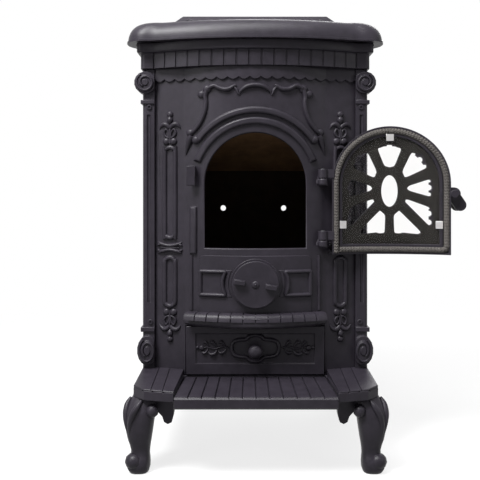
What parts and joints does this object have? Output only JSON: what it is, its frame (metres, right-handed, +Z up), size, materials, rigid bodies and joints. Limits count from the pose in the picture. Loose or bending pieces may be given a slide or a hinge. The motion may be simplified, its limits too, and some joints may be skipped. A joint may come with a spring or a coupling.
{
  "type": "cast iron stove",
  "caption": "Cast iron heating stove on cabriole legs with a bowed, arched, glazed fire door, ash drawer, air wheel, hearth ledge, lift-off hob lid and rear flue collar.",
  "frame": {"origin": "on the floor, on the stove's plane of symmetry, midway between the front and rear feet", "axes": "+Z up, +Y from the fire door towards the flue collar, +X towards the door's hinges"},
  "size_m": [0.5871, 0.469, 0.773],
  "materials": {
    "cast_iron": "satin stove paint",
    "fired_iron": "matt, heat browned",
    "sheet_steel": "satin",
    "bright_steel": "satin",
    "sealing_rope": "knitted",
    "glass": "clear"
  },
  "bodies": {
    "stove": {"back_panel": "cast_iron", "baffle_plate": "fired_iron", "base_plate": "cast_iron", "corner_post_left": "cast_iron", "corner_post_right": "cast_iron", "drawer_runner_left": "sheet_steel", "drawer_runner_right": "sheet_steel", "fire_bed": "fired_iron", "fire_grate": "fired_iron", "flue_spigot": "cast_iron", "frieze": "cast_iron", "front_panel": "cast_iron", "hearth_ledge": "cast_iron", "hinge_pins": "bright_steel", "latch_keeper": "cast_iron", "leg_front_left": "cast_iron", "leg_front_right": "cast_iron", "leg_rear_left": "cast_iron", "leg_rear_right": "cast_iron", "leg_studs": "sheet_steel", "liner_left": "fired_iron", "liner_rear": "fired_iron", "liner_right": "fired_iron", "side_panel_left": "cast_iron", "side_panel_right": "cast_iron", "tie_rods": "sheet_steel", "top_plate": "cast_iron"},
    "fire_door": {"door_frame": "cast_iron", "door_glass": "glass", "door_rope": "sealing_rope", "glass_clips": "bright_steel"},
    "door_handle": {"handle_lever": "cast_iron", "handle_grip": "cast_iron"},
    "ash_drawer": {"drawer_front": "cast_iron", "ash_pan": "sheet_steel", "drawer_knob": "cast_iron"},
    "air_control": {"air_wheel": "cast_iron", "air_spindle": "sheet_steel", "air_shutter": "cast_iron"},
    "hob_lid": {"top_lid": "cast_iron"}
  },
  "joints": [
    {"name": "door_hinge", "type": "hinge", "parent": "stove", "child": "fire_door", "pos_m": [0.116, -0.122, 0.42], "axis": [0, 0, 1], "range_deg": [-176, 0]},
    {"name": "handle_pivot", "type": "hinge", "parent": "fire_door", "child": "door_handle", "pos_m": [0.33791, -0.131, 0.452], "axis": [-0.0698, -0.9976, 0], "range_deg": [0, 60]},
    {"name": "drawer_slide", "type": "slide", "parent": "stove", "child": "ash_drawer", "axis": [0, -1, 0], "range_m": [0, 0.2]},
    {"name": "air_turn", "type": "hinge", "parent": "stove", "child": "air_control", "pos_m": [0, -0.14, 0.299], "axis": [0, 1, 0], "range_deg": [0, 45]},
    {"name": "lid_lift", "type": "slide", "parent": "stove", "child": "hob_lid", "axis": [0, 0, 1], "range_m": [0, 0.12]}
  ]
}
